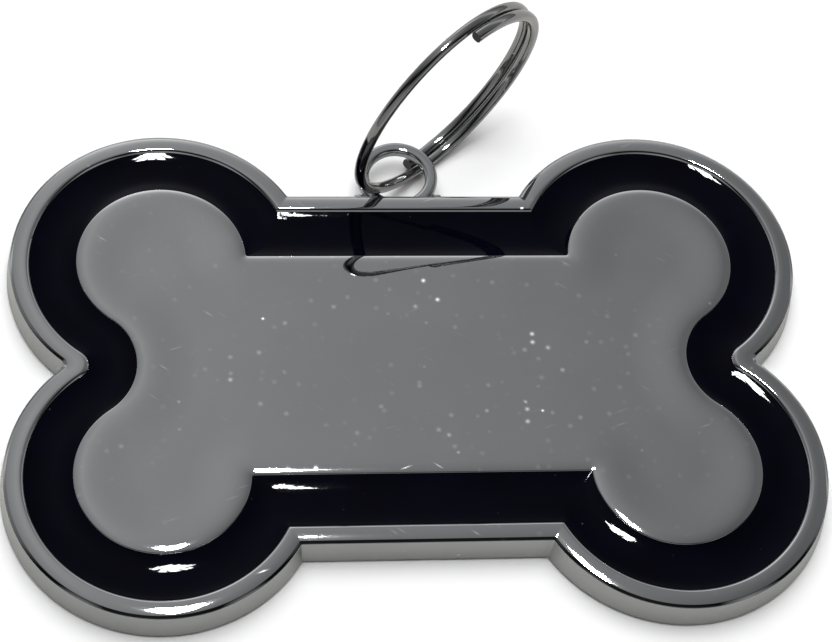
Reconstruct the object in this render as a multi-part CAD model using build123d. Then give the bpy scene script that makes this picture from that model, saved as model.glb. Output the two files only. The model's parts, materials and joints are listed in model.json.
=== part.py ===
from build123d import *
import os
from math import atan2, ceil, cos, degrees, pi, radians, sin, sqrt

# Bone-shaped pet tag with a split ring, in millimetres. X runs along the bone, +Y points to the hanging
# loop, +Z out of the face. The origin is the middle of the flat back.

# Bone outline at the top of the rim, and how much sharper than a plain offset the notch is inside the rim
lobe_radius = 7.15
lobe_centre_x = 11.85
lobe_centre_y = 5.65
waist_half_height = 9.33
corner_round = 0.12
notch_round = 0.30
notch_trim = 0.45

# Section of the casting
tag_thickness = 1.62
wall_flare = 0.20
rim_width = 0.95
rim_round = 0.36
rim_inner_bevel = 0.12
back_bevel = 0.10
channel_depth = 0.75
channel_width = 2.17
waist_channel_width = 2.52
plate_bevel = 0.18

# Enamel: it climbs the channel's walls and is hollow between them
enamel_edge_drop = 0.22
enamel_sag = 0.16
enamel_slope_width = 0.75

# Hanging loop, a ring with bevelled edges, cast a little off the middle, on a low foot
loop_centre_x = -0.23
loop_hole_offset = 1.30
loop_hole_radius = 1.40
loop_bar_width = 0.60
loop_bar_height = 0.56
loop_bar_bevel = 0.18
loop_bar_top = 1.44
foot_width = 4.30
foot_reach = 0.42
foot_bottom = 0.30
foot_height = 0.75

# Split ring: flat-sided wire, wound with its turns side by side
ring_outer_diameter = 11.77
wire_width = 0.52
wire_thickness = 0.52
wire_bevel = 0.10
turn_gap = 0.04
ring_turns = 1.52
first_end_angle = 3.0

# How the ring stands in the loop: hooked under one side of it and leaning on the other
hook_angle = 42.8
ring_heading = 41.2
ring_tilt = 4.8
hook_clearance = 0.23
lean_clearance = 0.10

loop_centre_y = waist_half_height + loop_hole_offset
loop_bar_middle = loop_bar_top - loop_bar_height / 2
loop_radius = loop_hole_radius + loop_bar_width / 2
ring_radius = (ring_outer_diameter - wire_width) / 2
turn_pitch = wire_thickness + turn_gap
plate_inset = rim_width + channel_width
waist_plate_inset = rim_width + waist_channel_width
channel_floor = tag_thickness - channel_depth
enamel_edge = tag_thickness - enamel_edge_drop


def bone_face(inset, waist_inset, height):
    """Bone outline moved inwards by one distance on the lobes and another along the waist."""
    radius = lobe_radius - inset
    half = waist_half_height - waist_inset
    notch = notch_round + inset - notch_trim * min(1, inset / rim_width)
    notch_x = lobe_centre_x + sqrt((radius + notch) ** 2 - lobe_centre_y**2)
    corner_y = half + corner_round
    corner_x = lobe_centre_x - sqrt((radius + corner_round) ** 2 - (corner_y - lobe_centre_y) ** 2)
    to_corner = degrees(atan2(corner_y - lobe_centre_y, corner_x - lobe_centre_x))
    to_notch = degrees(atan2(-lobe_centre_y, notch_x - lobe_centre_x))
    edge = Line((0, half), (corner_x, half))
    corner = CenterArc((corner_x, corner_y), corner_round, -90, to_corner - 90)
    lobe = CenterArc((lobe_centre_x, lobe_centre_y), radius, to_corner, to_notch - to_corner)
    end = CenterArc((notch_x, 0), notch, to_notch + 180, -to_notch)
    quarter = Curve() + [edge, corner, lobe, end]
    half_outline = quarter + mirror(quarter, Plane.XZ)
    return Pos(0, 0, height) * make_face(half_outline + mirror(half_outline, Plane.YZ))


def sloped(*outlines):
    """Solid with straight sloping walls from each outline to the next."""
    return loft(outlines, ruled=True)


def channel_face(height):
    """Channel between the rim and the name plate."""
    return bone_face(rim_width, rim_width, height) - bone_face(plate_inset, waist_plate_inset, height)


def hanging_loop():
    """Ring of bevelled bar, with a low foot that carries it on the tag's edge."""
    section = Rectangle(loop_bar_width, loop_bar_height)
    section = chamfer(section.vertices(), loop_bar_bevel)
    middle = Pos(loop_centre_x, loop_centre_y, loop_bar_middle)
    bar = middle * revolve(Plane.XZ * Pos(loop_radius, 0) * section, Axis.Z)
    foot_depth = rim_width / 2 + foot_reach
    foot = Box(foot_width, foot_depth, foot_height, align=(Align.CENTER, Align.MAX, Align.MIN))
    foot = Pos(loop_centre_x, waist_half_height + foot_reach, foot_bottom) * foot
    hole = middle * Cylinder(loop_hole_radius, 2 * tag_thickness)
    return bar + (foot - hole)


def rim_outlines(steps=3):
    """Outlines up the rounded edge of the rim, from the top of the wall to the face."""
    shoulder = tag_thickness - rim_round
    outlines = []
    for i in range(steps + 1):
        angle = pi / 2 * i / steps
        inset = rim_round * (1 - cos(angle))
        outlines.append(bone_face(inset, inset, shoulder + rim_round * sin(angle)))
    return outlines


def tag_casting():
    """Rim, channel floor, name plate and hanging loop, cast in one piece."""
    back_inset = back_bevel - wall_flare
    block = sloped(
        bone_face(back_inset, back_inset, 0),
        bone_face(-wall_flare, -wall_flare, back_bevel),
        *rim_outlines(),
    )
    rim_mouth = rim_width - rim_inner_bevel
    pocket = sloped(
        bone_face(rim_width, rim_width, channel_floor),
        bone_face(rim_width, rim_width, tag_thickness - rim_inner_bevel),
        bone_face(rim_mouth, rim_mouth, tag_thickness),
    )
    plate = sloped(
        bone_face(plate_inset, waist_plate_inset, channel_floor),
        bone_face(plate_inset, waist_plate_inset, tag_thickness - plate_bevel),
        bone_face(plate_inset + plate_bevel, waist_plate_inset + plate_bevel, tag_thickness),
    )
    return block - pocket + plate + hanging_loop()


def enamel_inlay():
    """Enamel that fills the channel, its top sloping down from both walls to a level strip."""
    block = extrude(channel_face(channel_floor), enamel_edge - channel_floor)
    low = enamel_edge - enamel_sag
    slope = enamel_slope_width
    outer = sloped(
        bone_face(rim_width + slope, rim_width + slope, low),
        bone_face(rim_width, rim_width, enamel_edge),
    )
    inner = sloped(
        bone_face(plate_inset - slope, waist_plate_inset - slope, low),
        bone_face(plate_inset, waist_plate_inset, enamel_edge),
    )
    return block - (outer - inner)


def coil_point(turn):
    """Middle of the wire, a number of turns from its first end, about the ring's own axis."""
    angle = radians(first_end_angle) + 2 * pi * turn
    return Vector(ring_radius * cos(angle), ring_radius * sin(angle), turn_pitch * (turn - ring_turns / 2))


def coil():
    """Wire wound about its own axis, in arcs of about a quarter turn."""
    arcs = ceil(4 * ring_turns)
    places = [coil_point(ring_turns * i / arcs) for i in range(arcs + 1)]
    start_angle = radians(first_end_angle)
    outward = Vector(cos(start_angle), sin(start_angle), 0)
    tangent = Vector(-sin(start_angle), cos(start_angle), turn_pitch / (2 * pi * ring_radius))
    section = Rectangle(wire_width, wire_thickness)
    section = chamfer(section.vertices(), wire_bevel)
    section = Plane(places[0], x_dir=outward, z_dir=tangent) * section
    path = []
    for first, last in zip(places, places[1:]):
        path.append(TangentArc(first, last, tangent=tangent))
        tangent = path[-1] % 1
    return sweep(section, path=Wire(path))


def least_gap(points_per_turn=90):
    """Least gap between one turn of the wire and the next, from points along its middle."""
    count = round(points_per_turn * ring_turns)
    middle = [coil_point(i / points_per_turn) for i in range(count + 1)]
    half_turn = points_per_turn // 2
    pairs = [(a, b) for i, a in enumerate(middle) for b in middle[i + half_turn :]]
    return min((a - b).length for a, b in pairs) - wire_thickness


def ring_place():
    """Plane of the ring: its own axis, and a centre that clears both sides of the loop."""
    heading = Vector(cos(radians(ring_heading)), sin(radians(ring_heading)), 0)
    level = Vector(-heading.Y, heading.X, 0)
    axis = level * cos(radians(ring_tilt)) + Vector(0, 0, sin(radians(ring_tilt)))
    upright = heading.cross(axis)
    arm = Vector(cos(radians(hook_angle)), sin(radians(hook_angle)), 0) * loop_radius
    hook = Vector(loop_centre_x, loop_centre_y, loop_bar_middle) + arm
    span = 2 * arm.dot(heading)
    to_bevel = ((loop_bar_width + loop_bar_height) / 2 - loop_bar_bevel) / sqrt(2)
    from_hook = ring_radius - (wire_width + loop_bar_height) / 2 - hook_clearance
    from_lean = ring_radius + wire_width / 2 + to_bevel + lean_clearance
    along = (from_lean**2 - from_hook**2 - span**2) / (2 * span)
    centre = hook + heading * along + upright * sqrt(from_hook**2 - along**2)
    return Plane(centre, x_dir=upright, z_dir=axis), hook, axis


def split_ring():
    """Split ring, standing up through the loop as in use."""
    place, hook, axis = ring_place()
    print("ring swings about", tuple(round(v, 3) for v in hook), "along", tuple(round(v, 4) for v in axis))
    print("least gap between turns", round(least_gap(), 3))
    return place * coil()


os.makedirs("parts", exist_ok=True)
for name, make in [("tag_casting", tag_casting), ("enamel_inlay", enamel_inlay), ("split_ring", split_ring)]:
    piece = make()
    export_step(piece, f"parts/{name}.step")
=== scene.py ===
import json
import math

import bmesh
import bpy
from mathutils import Matrix, Vector


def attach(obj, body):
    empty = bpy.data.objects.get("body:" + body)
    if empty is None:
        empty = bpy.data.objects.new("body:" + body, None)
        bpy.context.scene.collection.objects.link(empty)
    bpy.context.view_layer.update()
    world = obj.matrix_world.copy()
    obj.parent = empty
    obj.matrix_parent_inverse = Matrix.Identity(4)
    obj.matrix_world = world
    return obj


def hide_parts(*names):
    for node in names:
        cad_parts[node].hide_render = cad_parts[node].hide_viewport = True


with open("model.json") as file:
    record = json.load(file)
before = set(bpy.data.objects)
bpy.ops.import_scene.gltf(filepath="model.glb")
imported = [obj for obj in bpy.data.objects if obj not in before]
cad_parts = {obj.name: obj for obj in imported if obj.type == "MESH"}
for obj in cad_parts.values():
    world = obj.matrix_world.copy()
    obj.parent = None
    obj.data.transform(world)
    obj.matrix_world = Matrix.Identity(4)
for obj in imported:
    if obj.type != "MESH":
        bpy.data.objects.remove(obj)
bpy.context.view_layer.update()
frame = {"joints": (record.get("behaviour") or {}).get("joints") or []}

MM = 0.001

# Bone outline at the top of the rim, in millimetres
LOBE_RADIUS = 7.15
LOBE_CENTRE_X = 11.85
LOBE_CENTRE_Y = 5.65
WAIST_HALF_HEIGHT = 9.33
CORNER_ROUND = 0.12
NOTCH_ROUND = 0.30
NOTCH_TRIM = 0.45

# Section of the casting: a low dome over the rim with a bevel round it, and a faintly dished plate that
# rolls off at its edge
TAG_THICKNESS = 1.62
WALL_FLARE = 0.20
BACK_ROUND = 0.18
RIM_WIDTH = 0.95
RIM_BEVEL_WIDTH = 0.12
RIM_BEVEL_TILT = 31.0
RIM_EDGE_ROUND = 0.08
RIM_DOME_TILT = 10.5
RIM_LIP_TILT = 0.0
RIM_INNER_ROUND = 0.22
CHANNEL_DEPTH = 0.75
CHANNEL_WIDTH = 2.17
WAIST_CHANNEL_WIDTH = 2.52
PLATE_EDGE_ROUND = 0.06
PLATE_LIFT = 0.17
PLATE_ROLL_SLOPE = 0.43
PLATE_ROLL_WIDTH = 0.56
PLATE_DISH_SLOPE = 0.16
PLATE_DISH_WIDTH = 3.0

# Enamel
ENAMEL_EDGE_DROP = 0.13
ENAMEL_CURVE = 0.64
ENAMEL_LOW_SHARE = 0.49
ENAMEL_CORNER = 0.8

# Hanging loop and its foot
LOOP_CENTRE_X = -0.23
LOOP_HOLE_OFFSET = 1.30
LOOP_HOLE_RADIUS = 1.40
LOOP_BAR_WIDTH = 0.60
LOOP_BAR_HEIGHT = 0.56
LOOP_BAR_BEVEL = 0.18
LOOP_BAR_ROUND = 0.19
LOOP_BAR_TOP = 1.44
FOOT_WIDTH = 4.30
FOOT_REACH = 0.42
FOOT_BOTTOM = 0.30
FOOT_HEIGHT = 0.75
FOOT_ROUND = 0.09

# Split ring
RING_OUTER_DIAMETER = 11.77
WIRE_WIDTH = 0.52
WIRE_THICKNESS = 0.52
WIRE_ROUND = 0.21
TURN_GAP = 0.04
RING_TURNS = 1.52
FIRST_END_ANGLE = 3.0
HOOK_CLEARANCE = 0.23
LEAN_CLEARANCE = 0.10

# Steps along each curve of the meshes
WAIST_STEPS = 12
CORNER_STEPS = 8
LOBE_STEPS = 72
NOTCH_STEPS = 14
BACK_STEPS = 5
RIM_EDGE_STEPS = 5
RIM_TOP_STEPS = 6
RIM_DOME_STEPS = 10
RIM_INNER_STEPS = 10
PLATE_EDGE_STEPS = 6
PLATE_STEPS = 24
ENAMEL_STEPS = 28
LOOP_STEPS = 96
LOOP_CORNER_STEPS = 7
FOOT_HOLLOW_STEPS = 20
FOOT_ROUND_STEPS = 3
WIRE_STEPS_PER_TURN = 120
WIRE_CORNER_STEPS = 5

# Power that crowds the plate's outlines towards its edge, and shares of the wall's height with an outline
# that keeps its shading straight
PLATE_CROWDING = 1.8
WALL_SHARES = (0.03, 0.97)

# Angles in degrees between faces: above the first an edge is shaded sharp, above the second it is rounded
SHARP_ANGLE = 40
FOOT_EDGE_ANGLE = 30

# Camera, fitted to the photograph: degrees, millimetres and pixels, and its clipping in metres
CAMERA_AZIMUTH = -12.902
CAMERA_ELEVATION = 59.025
CAMERA_ROLL = -10.77
CAMERA_TARGET = (0.354, 3.09, 0.0)
CAMERA_DISTANCE = 108.5
FOCAL_PIXELS = 2246.0
IMAGE_WIDTH = 832
SENSOR_WIDTH = 36.0
CAMERA_CLIP = (0.001, 10)

# Lamp that only mirrors show, in metres: each strip has its shift along Y and its share of the length
LAMP_PLACE = (0.001, 0.074, 0.49)
LAMP_SIZE = (0.046, 0.090)
LAMP_STRIPS = ((-0.012, 0.55), (0.000, 0.85), (-0.005, 0.95), (0.002, 0.85), (-0.010, 0.55))
LAMP_STRIP_FILL = 0.9
LAMP_POWER = 3.4

# Soft light that no mirror shows, and the floor's reach from the middle, in metres
FILL_PLACE = (0.0, 0.17, 0.58)
FILL_SIZE = (0.60, 0.60)
FILL_POWER = 4.6
FLOOR_REACH = 3.0

# Brightness of the room by the angle in degrees from straight up towards +Y
ROOM_STOPS = (
    (-90, 0.45), (-64, 0.42), (-52, 0.26), (-43, 0.02), (-18, 0.015), (-8, 0.15),
    (0, 0.34), (22, 0.475), (38, 0.495), (44, 0.55), (48, 0.62), (53, 0.95),
    (57, 1.5), (62, 1.5), (68, 0.8), (80, 0.5), (90, 0.45),
)

# Colours
PLATING_TONES = ((0.43, 0.442, 0.455, 1), (0.455, 0.467, 0.48, 1))
SCRATCH_TONE = (0.75, 0.75, 0.75, 1)
DUST_TONE = (0.80, 0.80, 0.79, 1)
ENAMEL_TONES = ((0.0004, 0.0004, 0.0020, 1), (0.0009, 0.0008, 0.0042, 1))
ENAMEL_DUST_TONE = (0.10, 0.10, 0.12, 1)
WIRE_TONES = ((0.27, 0.273, 0.28, 1), (0.38, 0.383, 0.39, 1))
# Painted shade: dark colour given to the wire's two cut end faces
WIRE_END_SHADE_TONE = (0.12, 0.12, 0.12, 1)
FLOOR_TONE = (0.88, 0.88, 0.88, 1)
FLOOR_MIRRORED_TONE = (0.51, 0.50, 0.47, 1)
ROOM_CORNER_TONE = (0.42, 0.42, 0.42, 1)
BACKDROP_TONE = (0.92, 0.92, 0.92, 1)

# Half sizes in metres of the plate's dusty middle, whose depth doesn't count, and the distances in turns
# from an end of the wire where the painted shade on its end faces starts and is full
DUST_REACH = (0.010, 0.007, 1.0)
WIRE_END_BAND = (0.0005, 0.0001)

PLATE_INSET = RIM_WIDTH + CHANNEL_WIDTH
WAIST_PLATE_INSET = RIM_WIDTH + WAIST_CHANNEL_WIDTH
CHANNEL_FLOOR = TAG_THICKNESS - CHANNEL_DEPTH
LOOP_RADIUS = LOOP_HOLE_RADIUS + LOOP_BAR_WIDTH / 2
LOOP_CENTRE_Y = WAIST_HALF_HEIGHT + LOOP_HOLE_OFFSET
LOOP_BAR_MIDDLE = LOOP_BAR_TOP - LOOP_BAR_HEIGHT / 2
RING_RADIUS = (RING_OUTER_DIAMETER - WIRE_WIDTH) / 2
TURN_PITCH = WIRE_THICKNESS + TURN_GAP


# Outlines and meshes

def spread(first, last, steps):
    """Even steps from one value to another, ends included."""
    return [first + (last - first) * i / steps for i in range(steps + 1)]


def arc(centre, radius, start, end, steps):
    """Points along an arc, ends included, from one angle in radians to another."""
    turns = spread(start, end, steps)
    return [(centre[0] + radius * math.cos(a), centre[1] + radius * math.sin(a)) for a in turns]


def tilted_arc(centre, radius, first, last, steps):
    """Insets and heights round a circle, from one outward tilt of the surface to another."""
    tilts = spread(first, last, steps)
    return [(centre[0] - radius * math.sin(t), centre[1] + radius * math.cos(t)) for t in tilts]


def rounded_rectangle(width, height, round_off, steps):
    """Rectangle with rounded corners about its own middle."""
    x, y = width / 2 - round_off, height / 2 - round_off
    points = []
    for cx, cy, start in ((x, y, 0.0), (-x, y, 0.5), (-x, -y, 1.0), (x, -y, 1.5)):
        points += arc((cx, cy), round_off, start * math.pi, (start + 0.5) * math.pi, steps)
    return points


def bone_outline(inset, waist_inset, corner):
    """Bone outline moved inwards, as a closed ring of points that always has the same count."""
    radius = LOBE_RADIUS - inset
    half = WAIST_HALF_HEIGHT - waist_inset
    notch = NOTCH_ROUND + inset - NOTCH_TRIM * min(1, inset / RIM_WIDTH)
    notch_x = LOBE_CENTRE_X + math.sqrt((radius + notch) ** 2 - LOBE_CENTRE_Y**2)
    corner_y = half + corner
    corner_x = LOBE_CENTRE_X - math.sqrt((radius + corner) ** 2 - (corner_y - LOBE_CENTRE_Y) ** 2)
    to_corner = math.atan2(corner_y - LOBE_CENTRE_Y, corner_x - LOBE_CENTRE_X)
    to_notch = math.atan2(-LOBE_CENTRE_Y, notch_x - LOBE_CENTRE_X)
    quarter = [(corner_x * i / WAIST_STEPS, half) for i in range(WAIST_STEPS)]
    quarter += arc((corner_x, corner_y), corner, -math.pi / 2, to_corner - math.pi, CORNER_STEPS)[:-1]
    quarter += arc((LOBE_CENTRE_X, LOBE_CENTRE_Y), radius, to_corner, to_notch, LOBE_STEPS)[:-1]
    quarter += arc((notch_x, 0.0), notch, to_notch + math.pi, math.pi, NOTCH_STEPS)
    right = quarter + [(x, -y) for x, y in reversed(quarter)][1:]
    left = [(-x, y) for x, y in reversed(right)][1:-1]
    return right + left


def new_object(name, points, faces):
    """Mesh object from points in millimetres, smooth except at its sharp edges."""
    mesh = bpy.data.meshes.new(name)
    mesh.from_pydata([tuple(c * MM for c in p) for p in points], [], faces)
    mesh.shade_smooth()
    mesh.set_sharp_from_angle(angle=math.radians(SHARP_ANGLE))
    piece = bpy.data.objects.new(name, mesh)
    bpy.context.scene.collection.objects.link(piece)
    return piece


def ringed_points(stations):
    """Points of one bone outline after another, and the count in each."""
    rings = [[(x, y, z) for x, y in bone_outline(i, w, corner)] for i, w, corner, z in stations]
    return [p for ring in rings for p in ring], len(rings[0])


def ring_faces(rings, count, closed=False):
    """Quads between successive rings of points."""
    faces = []
    last = rings if closed else rings - 1
    for r in range(last):
        low = r * count
        high = ((r + 1) % rings) * count
        for i in range(count):
            j = (i + 1) % count
            faces.append((low + i, high + i, high + j, low + j))
    return faces


# Pieces of the tag

def rim_profile():
    """Insets and heights over the rim: bevelled outer edge, low dome, round inner edge."""
    wall, bevel, dome, lip = (math.radians(t) for t in (90, RIM_BEVEL_TILT, RIM_DOME_TILT, RIM_LIP_TILT))
    inner_centre = (RIM_WIDTH - RIM_INNER_ROUND, TAG_THICKNESS - RIM_INNER_ROUND)
    inner = tilted_arc(inner_centre, RIM_INNER_ROUND, lip, -math.pi / 2, RIM_INNER_STEPS)
    foot = tilted_arc((RIM_EDGE_ROUND, 0.0), RIM_EDGE_ROUND, wall, bevel, RIM_EDGE_STEPS)
    rise = (RIM_BEVEL_WIDTH * math.cos(bevel), RIM_BEVEL_WIDTH * math.sin(bevel))
    top_centre = (RIM_EDGE_ROUND + rise[0], rise[1])
    top = tilted_arc(top_centre, RIM_EDGE_ROUND, bevel, dome, RIM_TOP_STEPS)
    dome_radius = (inner[0][0] - top[-1][0]) / (math.sin(dome) - math.sin(lip))
    dome_centre = (inner[0][0] + dome_radius * math.sin(lip), inner[0][1] - dome_radius * math.cos(lip))
    cap = tilted_arc(dome_centre, dome_radius, dome, lip, RIM_DOME_STEPS)
    lift = cap[0][1] - top[-1][1]
    edge = [(inset, z + lift) for inset, z in foot + top]
    return edge + cap[1:] + inner[1:]


def plate_height(d):
    """Height of the name plate at a distance from its edge."""
    dish = PLATE_DISH_SLOPE * PLATE_DISH_WIDTH / 2 * (1 - (1 - d / PLATE_DISH_WIDTH) ** 2)
    roll = PLATE_ROLL_SLOPE * PLATE_ROLL_WIDTH * math.exp(-d / PLATE_ROLL_WIDTH)
    return TAG_THICKNESS + PLATE_LIFT - dish - roll


def plate_profile():
    """Distances from the plate's edge and heights: round edge, roll-off and dish."""
    tilt = math.atan(PLATE_ROLL_SLOPE * math.exp(-PLATE_EDGE_ROUND / PLATE_ROLL_WIDTH) - PLATE_DISH_SLOPE)
    start = PLATE_EDGE_ROUND * (1 - math.sin(tilt))
    centre = (PLATE_EDGE_ROUND, plate_height(start) - PLATE_EDGE_ROUND * math.cos(tilt))
    edge = tilted_arc(centre, PLATE_EDGE_ROUND, math.pi / 2, tilt, PLATE_EDGE_STEPS)
    shares = [t**PLATE_CROWDING for t in spread(0, 1, PLATE_STEPS)]
    reaches = [start + (PLATE_DISH_WIDTH - start) * share for share in shares]
    return edge + [(d, plate_height(d)) for d in reaches[1:]]


def tag_body():
    """Casting without its loop: back, flared wall, rim, channel and name plate."""
    rim = rim_profile()
    back_centre = (BACK_ROUND - WALL_FLARE, BACK_ROUND)
    profile = tilted_arc(back_centre, BACK_ROUND, math.pi, math.pi / 2, BACK_STEPS)
    shoulder = rim[0][1]
    for share in WALL_SHARES:
        profile.append((WALL_FLARE * (share - 1), BACK_ROUND + (shoulder - BACK_ROUND) * share))
    stations = [(i, i, CORNER_ROUND, z) for i, z in profile + rim]
    stations.append((RIM_WIDTH, RIM_WIDTH, CORNER_ROUND, CHANNEL_FLOOR))
    stations.append((PLATE_INSET, WAIST_PLATE_INSET, CORNER_ROUND, CHANNEL_FLOOR))
    for d, z in plate_profile():
        stations.append((PLATE_INSET + d, WAIST_PLATE_INSET + d, CORNER_ROUND + d, z))
    points, count = ringed_points(stations)
    faces = ring_faces(len(stations), count)
    last = (len(stations) - 1) * count
    faces += [tuple(range(count)), tuple(reversed(range(last, last + count)))]
    return new_object("tag_body", points, faces)


def enamel():
    """Enamel in the channel, hollow between the rim and the plate, closed underneath."""
    edge = TAG_THICKNESS - ENAMEL_EDGE_DROP
    stations = []
    for t in spread(0, 1, ENAMEL_STEPS):
        inset = RIM_WIDTH + CHANNEL_WIDTH * t
        waist = RIM_WIDTH + WAIST_CHANNEL_WIDTH * t
        height = edge + ENAMEL_CURVE * ((t - ENAMEL_LOW_SHARE) ** 2 - ENAMEL_LOW_SHARE**2)
        stations.append((inset, waist, CORNER_ROUND + ENAMEL_CORNER * 4 * t * (1 - t), height))
    stations.append((PLATE_INSET, WAIST_PLATE_INSET, CORNER_ROUND, CHANNEL_FLOOR))
    stations.append((RIM_WIDTH, RIM_WIDTH, CORNER_ROUND, CHANNEL_FLOOR))
    points, count = ringed_points(stations)
    return new_object("enamel_fill", points, ring_faces(len(stations), count, closed=True))


def hanging_loop():
    """Ring of round-edged bar."""
    section = rounded_rectangle(LOOP_BAR_WIDTH, LOOP_BAR_HEIGHT, LOOP_BAR_ROUND, LOOP_CORNER_STEPS)
    points = []
    for i in range(LOOP_STEPS):
        a = 2 * math.pi * i / LOOP_STEPS
        for u, v in section:
            x = LOOP_CENTRE_X + (LOOP_RADIUS + u) * math.cos(a)
            y = LOOP_CENTRE_Y + (LOOP_RADIUS + u) * math.sin(a)
            points.append((x, y, LOOP_BAR_MIDDLE + v))
    return new_object("hanging_loop", points, ring_faces(LOOP_STEPS, len(section), closed=True))


def loop_foot():
    """Low foot that carries the loop on the tag's edge, hollowed by the loop's hole."""
    half = FOOT_WIDTH / 2
    front = WAIST_HALF_HEIGHT + FOOT_REACH
    back = WAIST_HALF_HEIGHT - RIM_WIDTH / 2
    opening = math.asin((LOOP_CENTRE_Y - front) / LOOP_HOLE_RADIUS)
    hollow = arc((0.0, LOOP_CENTRE_Y), LOOP_HOLE_RADIUS, -opening, opening - math.pi, FOOT_HOLLOW_STEPS)
    outline = [(-half, back), (half, back), (half, front)] + hollow + [(-half, front)]
    count = len(outline)
    points = [(LOOP_CENTRE_X + x, y, FOOT_BOTTOM) for x, y in outline]
    points += [(LOOP_CENTRE_X + x, y, FOOT_BOTTOM + FOOT_HEIGHT) for x, y in outline]
    faces = [tuple(reversed(range(count))), tuple(range(count, 2 * count))]
    faces += [(i, (i + 1) % count, count + (i + 1) % count, count + i) for i in range(count)]
    foot = new_object("loop_foot", points, faces)
    round_edges(foot.data)
    return foot


def round_edges(data):
    """Rounds the edges of the foot's mesh."""
    mesh = bmesh.new()
    mesh.from_mesh(data)
    edges = [e for e in mesh.edges if e.calc_face_angle() > math.radians(FOOT_EDGE_ANGLE)]
    rounding = {"offset": FOOT_ROUND * MM, "segments": FOOT_ROUND_STEPS, "profile": 0.5}
    bmesh.ops.bevel(mesh, geom=edges, affect="EDGES", **rounding)
    mesh.to_mesh(data)
    mesh.free()
    data.set_sharp_from_angle(angle=math.radians(SHARP_ANGLE))


# Split ring

def ring_place():
    """Ring's centre and its upright, sideways and axial directions, from the hinge it swings on."""
    hinge = frame["joints"][0]
    hook = Vector(hinge["pos_m"]) / MM
    axis = Vector(hinge["axis"]).normalized()
    heading = Vector((axis.y, -axis.x, 0)).normalized()
    upright = heading.cross(axis)
    arm = hook - Vector((LOOP_CENTRE_X, LOOP_CENTRE_Y, LOOP_BAR_MIDDLE))
    span = 2 * arm.dot(heading)
    to_bevel = ((LOOP_BAR_WIDTH + LOOP_BAR_HEIGHT) / 2 - LOOP_BAR_BEVEL) / math.sqrt(2)
    from_hook = RING_RADIUS - (WIRE_WIDTH + LOOP_BAR_HEIGHT) / 2 - HOOK_CLEARANCE
    from_lean = RING_RADIUS + WIRE_WIDTH / 2 + to_bevel + LEAN_CLEARANCE
    along = (from_lean**2 - from_hook**2 - span**2) / (2 * span)
    centre = hook + heading * along + upright * math.sqrt(from_hook**2 - along**2)
    return centre, upright, axis.cross(upright), axis


def split_ring():
    """Wire wound side by side, with its cut ends closed."""
    centre, upright, sideways, axis = ring_place()
    section = rounded_rectangle(WIRE_WIDTH, WIRE_THICKNESS, WIRE_ROUND, WIRE_CORNER_STEPS)
    steps = round(WIRE_STEPS_PER_TURN * RING_TURNS)
    points, drawn = [], []
    for turn in spread(0, RING_TURNS, steps):
        angle = math.radians(FIRST_END_ANGLE) + 2 * math.pi * turn
        outward = upright * math.cos(angle) + sideways * math.sin(angle)
        middle = centre + outward * RING_RADIUS + axis * TURN_PITCH * (turn - RING_TURNS / 2)
        points += [tuple(middle + outward * u + axis * v) for u, v in section]
        drawn += [(u, v, turn) for u, v in section]
    size = len(section)
    last = steps * size
    ends = [tuple(range(size)), tuple(reversed(range(last, last + size)))]
    ring = new_object("wire_ring", points, ring_faces(steps + 1, size) + ends)
    along_wire = ring.data.attributes.new("along_wire", "FLOAT_VECTOR", "POINT")
    for item, place in zip(along_wire.data, drawn):
        item.vector = place
    return ring


# Material nodes

def new_material(name):
    """New node material, its tree and its principled shader."""
    material = bpy.data.materials.new(name)
    material.use_nodes = True
    return material, material.node_tree, material.node_tree.nodes["Principled BSDF"]


def add_node(tree, kind, inputs=None, **settings):
    """Node with its settings, and its inputs set to values or linked to outputs."""
    node = tree.nodes.new(kind)
    for key, value in settings.items():
        setattr(node, key, value)
    for key, value in (inputs or {}).items():
        if isinstance(value, bpy.types.NodeSocket):
            tree.links.new(value, node.inputs[key])
        else:
            node.inputs[key].default_value = value
    return node


def object_place(tree):
    """Place on the piece in its own frame, in metres."""
    return add_node(tree, "ShaderNodeTexCoord").outputs["Object"]


def stretched(tree, place, lengths, turn=0.0):
    """Place turned about Z and divided by lengths, for grain that runs one way."""
    inputs = {"Vector": place, "Scale": lengths, "Rotation": (0, 0, math.radians(turn))}
    return add_node(tree, "ShaderNodeMapping", inputs, vector_type="TEXTURE").outputs["Vector"]


def noise(tree, place, scale, detail=2.0):
    """Smooth noise between 0 and 1."""
    inputs = {"Vector": place, "Scale": scale, "Detail": detail}
    return add_node(tree, "ShaderNodeTexNoise", inputs).outputs["Fac"]


def between(tree, value, low, high, to_low=0.0, to_high=1.0):
    """Value mapped from one range to another, held at its ends."""
    inputs = {"Value": value, "From Min": low, "From Max": high, "To Min": to_low, "To Max": to_high}
    return add_node(tree, "ShaderNodeMapRange", inputs, clamp=True).outputs["Result"]


def math_node(tree, operation, first, second):
    """Result of one sum on two values."""
    return add_node(tree, "ShaderNodeMath", {0: first, 1: second}, operation=operation).outputs[0]


def mixed(tree, share, first, second):
    """Colour between two others, the second by its share."""
    inputs = {"Fac": share, "Color1": first, "Color2": second}
    return add_node(tree, "ShaderNodeMixRGB", inputs).outputs["Color"]


def specks(tree, place, scale, radius, chosen):
    """Small dots of uneven strength, one in each of a share of the cells."""
    cells = add_node(tree, "ShaderNodeTexVoronoi", {"Vector": place, "Scale": scale})
    dot = between(tree, cells.outputs["Distance"], 0.0, radius, 1.0, 0.0)
    pick = add_node(tree, "ShaderNodeSeparateColor", {"Color": cells.outputs["Color"]})
    strength = math_node(tree, "POWER", between(tree, pick.outputs[0], 0.0, chosen, 1.0, 0.0), 2.0)
    return math_node(tree, "MULTIPLY", dot, strength)


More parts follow.
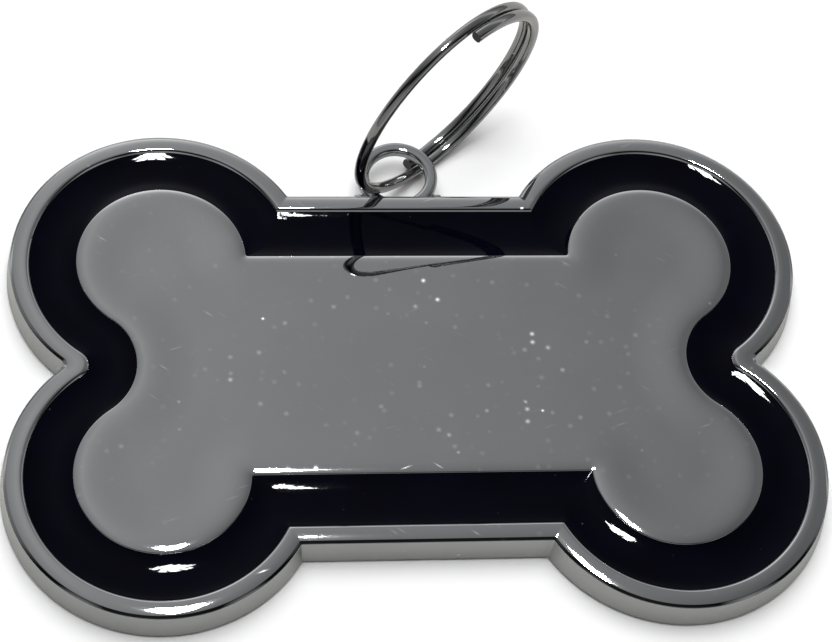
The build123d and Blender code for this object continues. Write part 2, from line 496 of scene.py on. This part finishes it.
def bump(tree, height, distance, normal=None):
    """Bump of a height between 0 and 1, with its depth in metres."""
    inputs = {"Height": height, "Distance": distance, "Strength": 1.0}
    if normal:
        inputs["Normal"] = normal
    return add_node(tree, "ShaderNodeBump", inputs).outputs["Normal"]


# Materials

def plating_dust(tree, place):
    """Dust in patches, most of it on the middle of the plate, and a few motes all over."""
    patches = between(tree, noise(tree, place, scale=300.0), 0.4, 0.62)
    from_middle = stretched(tree, place, DUST_REACH)
    reach = add_node(tree, "ShaderNodeVectorMath", {0: from_middle}, operation="LENGTH").outputs["Value"]
    patches = math_node(tree, "MULTIPLY", patches, between(tree, reach, 0.6, 1.2, 1.0, 0.25))
    dust = math_node(tree, "MULTIPLY", specks(tree, place, scale=1600.0, radius=0.28, chosen=1.0), patches)
    dust = math_node(tree, "MULTIPLY", dust, 0.75)
    return math_node(tree, "MAXIMUM", dust, specks(tree, place, scale=700.0, radius=0.08, chosen=0.5))


def plating_scratches(tree, place):
    """Hair scratches in two directions."""
    first = stretched(tree, place, (0.0036, 0.00048, 0.0012), turn=20)
    second = stretched(tree, place, (0.0032, 0.00045, 0.0012), turn=-35)
    hairs = specks(tree, first, scale=1.0, radius=0.13, chosen=0.8)
    more_hairs = specks(tree, second, scale=1.0, radius=0.13, chosen=0.6)
    return math_node(tree, "MAXIMUM", hairs, more_hairs)


def chrome():
    """Plating over a casting: uneven skin, hair scratches and dust, and a duller outer wall."""
    material, tree, shader = new_material("chrome_plating")
    place = object_place(tree)
    clouds = noise(tree, place, scale=260.0, detail=3.0)
    dust = plating_dust(tree, place)
    marks = plating_scratches(tree, place)
    tone = mixed(tree, between(tree, clouds, 0.3, 0.7), *PLATING_TONES)
    tone = mixed(tree, between(tree, marks, 0, 1, 0, 0.6), tone, SCRATCH_TONE)
    tone = mixed(tree, between(tree, dust, 0, 1, 0, 0.8), tone, DUST_TONE)
    tree.links.new(tone, shader.inputs["Base Color"])
    tree.links.new(between(tree, dust, 0, 1, 1.0, 0.35), shader.inputs["Metallic"])
    facing = add_node(tree, "ShaderNodeNewGeometry").outputs["Normal"]
    upward = add_node(tree, "ShaderNodeSeparateXYZ", {0: facing}).outputs["Z"]
    rough = between(tree, upward, 0.2, 0.5, 0.20, 0.026)
    rough = math_node(tree, "ADD", rough, between(tree, marks, 0, 1, 0, 0.18))
    rough = math_node(tree, "ADD", rough, between(tree, dust, 0, 1, 0, 0.4))
    tree.links.new(rough, shader.inputs["Roughness"])
    skin = bump(tree, noise(tree, place, scale=2500.0), distance=0.8e-6)
    tree.links.new(skin, shader.inputs["Normal"])
    return material


def black_enamel():
    """Poured black enamel with a blue cast, a few dust motes and a slightly uneven skin."""
    material, tree, shader = new_material("black_enamel")
    place = object_place(tree)
    clouds = noise(tree, place, scale=500.0, detail=3.0)
    dust = specks(tree, place, scale=1000.0, radius=0.06, chosen=0.4)
    tone = mixed(tree, between(tree, clouds, 0.3, 0.7), *ENAMEL_TONES)
    tone = mixed(tree, dust, tone, ENAMEL_DUST_TONE)
    tree.links.new(tone, shader.inputs["Base Color"])
    shader.inputs["Specular IOR Level"].default_value = 0.07
    tree.links.new(between(tree, clouds, 0.3, 0.7, 0.02, 0.03), shader.inputs["Roughness"])
    waves = bump(tree, noise(tree, place, scale=900.0, detail=1.0), distance=3.0e-6)
    skin = bump(tree, noise(tree, place, scale=2500.0), distance=1.5e-6, normal=waves)
    tree.links.new(skin, shader.inputs["Normal"])
    return material


def wire_end_shade(tree, along):
    """Share of the painted shade on the wire's ends: 1 on the wire's two end faces, 0 along it."""
    turn = add_node(tree, "ShaderNodeSeparateXYZ", {0: along}).outputs["Z"]
    from_middle = math_node(tree, "ABSOLUTE", math_node(tree, "SUBTRACT", turn, RING_TURNS / 2), 0.0)
    start, full = (RING_TURNS / 2 - distance for distance in WIRE_END_BAND)
    return between(tree, from_middle, start, full)


def ring_steel():
    """Drawn spring wire: fine lines along it, dull patches, small pits and dull cut ends darkened with
    painted shade.
    """
    material, tree, shader = new_material("ring_steel")
    along = add_node(tree, "ShaderNodeAttribute", attribute_name="along_wire").outputs["Vector"]
    lines = noise(tree, stretched(tree, along, (0.06, 0.06, 0.07)), scale=1.0, detail=3.0)
    place = object_place(tree)
    clouds = noise(tree, place, scale=900.0, detail=3.0)
    # Painted shade: the wire's cut end faces are darkened
    cut = wire_end_shade(tree, along)
    tone = mixed(tree, between(tree, lines, 0.3, 0.7), *WIRE_TONES)
    tone = mixed(tree, cut, tone, WIRE_END_SHADE_TONE)
    tree.links.new(tone, shader.inputs["Base Color"])
    shader.inputs["Metallic"].default_value = 1.0
    rough = between(tree, lines, 0.3, 0.7, 0.03, 0.06)
    rough = math_node(tree, "ADD", rough, between(tree, clouds, 0.45, 0.7, 0.0, 0.04))
    rough = math_node(tree, "ADD", rough, between(tree, cut, 0, 1, 0, 0.3))
    tree.links.new(rough, shader.inputs["Roughness"])
    pits = bump(tree, noise(tree, place, scale=4000.0), distance=2.0e-6)
    tree.links.new(bump(tree, lines, distance=1.0e-6, normal=pits), shader.inputs["Normal"])
    return material


def floor_material():
    """Pale floor, which the metal mirrors dimmer than the camera sees it."""
    material, tree, shader = new_material("pale_floor")
    path = add_node(tree, "ShaderNodeLightPath")
    tone = mixed(tree, path.outputs["Is Glossy Ray"], FLOOR_TONE, FLOOR_MIRRORED_TONE)
    tree.links.new(tone, shader.inputs["Base Color"])
    shader.inputs["Roughness"].default_value = 0.8
    return material


# Stage, light and camera

def add_floor():
    """Level floor under the tag, much wider than the view."""
    corners = ((-1, -1), (1, -1), (1, 1), (-1, 1))
    mesh = bpy.data.meshes.new("floor")
    mesh.from_pydata([(x * FLOOR_REACH, y * FLOOR_REACH, 0) for x, y in corners], [], [(0, 1, 2, 3)])
    floor = bpy.data.objects.new("floor", mesh)
    bpy.context.scene.collection.objects.link(floor)
    mesh.materials.append(floor_material())


def add_area(name, place, size, power, glossy, diffuse):
    """Area light that faces the tag, seen by mirrors or by dull surfaces."""
    light = bpy.data.lights.new(name, "AREA")
    light.shape = "RECTANGLE"
    light.size, light.size_y = size
    light.energy = power
    lamp = bpy.data.objects.new(name, light)
    bpy.context.scene.collection.objects.link(lamp)
    lamp.location = place
    lamp.rotation_euler = (-Vector(place)).to_track_quat("-Z", "Y").to_euler()
    lamp.visible_glossy = glossy
    lamp.visible_diffuse = diffuse


def add_lamp():
    """Lamp of strips side by side, longest in the middle, seen only in mirrors."""
    width = LAMP_SIZE[0] / len(LAMP_STRIPS)
    whole = sum(share for _, share in LAMP_STRIPS)
    for i, (step, share) in enumerate(LAMP_STRIPS):
        x = LAMP_PLACE[0] + width * (i + 0.5) - LAMP_SIZE[0] / 2
        place = (x, LAMP_PLACE[1] + step, LAMP_PLACE[2])
        size = (width * LAMP_STRIP_FILL, LAMP_SIZE[1] * share)
        add_area(f"lamp_{i}", place, size, LAMP_POWER * share / whole, glossy=True, diffuse=False)


def room_ramp(tree, share):
    """Grey of the room at a share of the way from the -Y horizon over the top to the +Y one."""
    ramp = add_node(tree, "ShaderNodeValToRGB", {"Fac": share})
    elements = ramp.color_ramp.elements
    while len(elements) < len(ROOM_STOPS):
        elements.new(0.5)
    for element, (angle, value) in zip(elements, ROOM_STOPS):
        element.position = (angle + 90) / 180
        element.color = (value, value, value, 1)
    return ramp.outputs["Color"]


def add_world():
    """Grey room that the metal mirrors, and a pale backdrop that only the camera sees.

    The room is dark round the camera, pale below it and in the corners behind it, grey above the tag and
    bright in a band beyond it, and dims to both sides.
    """
    world = bpy.data.worlds.new("room")
    bpy.context.scene.world = world
    world.use_nodes = True
    tree = world.node_tree
    tree.nodes.clear()
    direction = add_node(tree, "ShaderNodeTexCoord").outputs["Generated"]
    split = add_node(tree, "ShaderNodeSeparateXYZ", {0: direction})
    x, y, z = (split.outputs[name] for name in "XYZ")
    angle = math_node(tree, "ARCTAN2", y, z)
    grey = room_ramp(tree, between(tree, angle, -math.pi / 2, math.pi / 2))
    left = between(tree, x, -0.6, -0.15, 0.55, 1.15)
    strength = math_node(tree, "MULTIPLY", left, between(tree, x, -0.15, 0.4, 1.0, 0.42))
    room = add_node(tree, "ShaderNodeBackground", {"Color": grey, "Strength": strength})
    sideways = math_node(tree, "ABSOLUTE", x, 0.0)
    behind = between(tree, y, -0.55, -0.35, 1.0, 0.0)
    corners = math_node(tree, "MULTIPLY", between(tree, sideways, 0.4, 0.6), behind)
    pale = add_node(tree, "ShaderNodeBackground", {"Color": ROOM_CORNER_TONE})
    room = add_node(tree, "ShaderNodeMixShader", {0: corners, 1: room.outputs[0], 2: pale.outputs[0]})
    backdrop = add_node(tree, "ShaderNodeBackground", {"Color": BACKDROP_TONE})
    path = add_node(tree, "ShaderNodeLightPath")
    views = {0: path.outputs["Is Camera Ray"], 1: room.outputs[0], 2: backdrop.outputs[0]}
    mix = add_node(tree, "ShaderNodeMixShader", views)
    add_node(tree, "ShaderNodeOutputWorld", {"Surface": mix.outputs[0]})


def add_camera():
    """Camera where the fit to the photograph puts it."""
    azimuth, elevation, roll = (math.radians(v) for v in (CAMERA_AZIMUTH, CAMERA_ELEVATION, CAMERA_ROLL))
    level = math.cos(elevation)
    forward = Vector((-math.sin(azimuth) * level, math.cos(azimuth) * level, -math.sin(elevation)))
    right = Vector((math.cos(azimuth), math.sin(azimuth), 0))
    down = forward.cross(right)
    rolled_right = right * math.cos(roll) + down * math.sin(roll)
    rolled_down = down * math.cos(roll) - right * math.sin(roll)
    data = bpy.data.cameras.new("camera")
    data.sensor_width = SENSOR_WIDTH
    data.lens = FOCAL_PIXELS * SENSOR_WIDTH / IMAGE_WIDTH
    data.sensor_fit = "HORIZONTAL"
    data.clip_start, data.clip_end = CAMERA_CLIP
    camera = bpy.data.objects.new("camera", data)
    bpy.context.scene.collection.objects.link(camera)
    place = (Vector(CAMERA_TARGET) - forward * CAMERA_DISTANCE) * MM
    turn = Matrix((rolled_right, -rolled_down, -forward)).transposed().to_4x4()
    camera.matrix_world = Matrix.Translation(place) @ turn
    bpy.context.scene.camera = camera


# The whole object

def dress(piece, body, slot, material, *nodes):
    """Gives a piece its material and body, and hides the parts of the nodes it stands for."""
    piece.data.materials.append(material)
    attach(piece, body)
    if nodes:
        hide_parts(*nodes)


plating = chrome()
dress(tag_body(), "tag", "chrome_plating", plating, "tag_casting")
dress(hanging_loop(), "tag", "chrome_plating", plating)
dress(loop_foot(), "tag", "chrome_plating", plating)
dress(enamel(), "tag", "black_enamel", black_enamel(), "enamel_inlay")
dress(split_ring(), "ring", "ring_steel", ring_steel(), "split_ring")

add_floor()
add_world()
add_area("fill", FILL_PLACE, FILL_SIZE, FILL_POWER, glossy=False, diffuse=True)
add_lamp()
add_camera()
bpy.context.scene.view_settings.view_transform = "Standard"
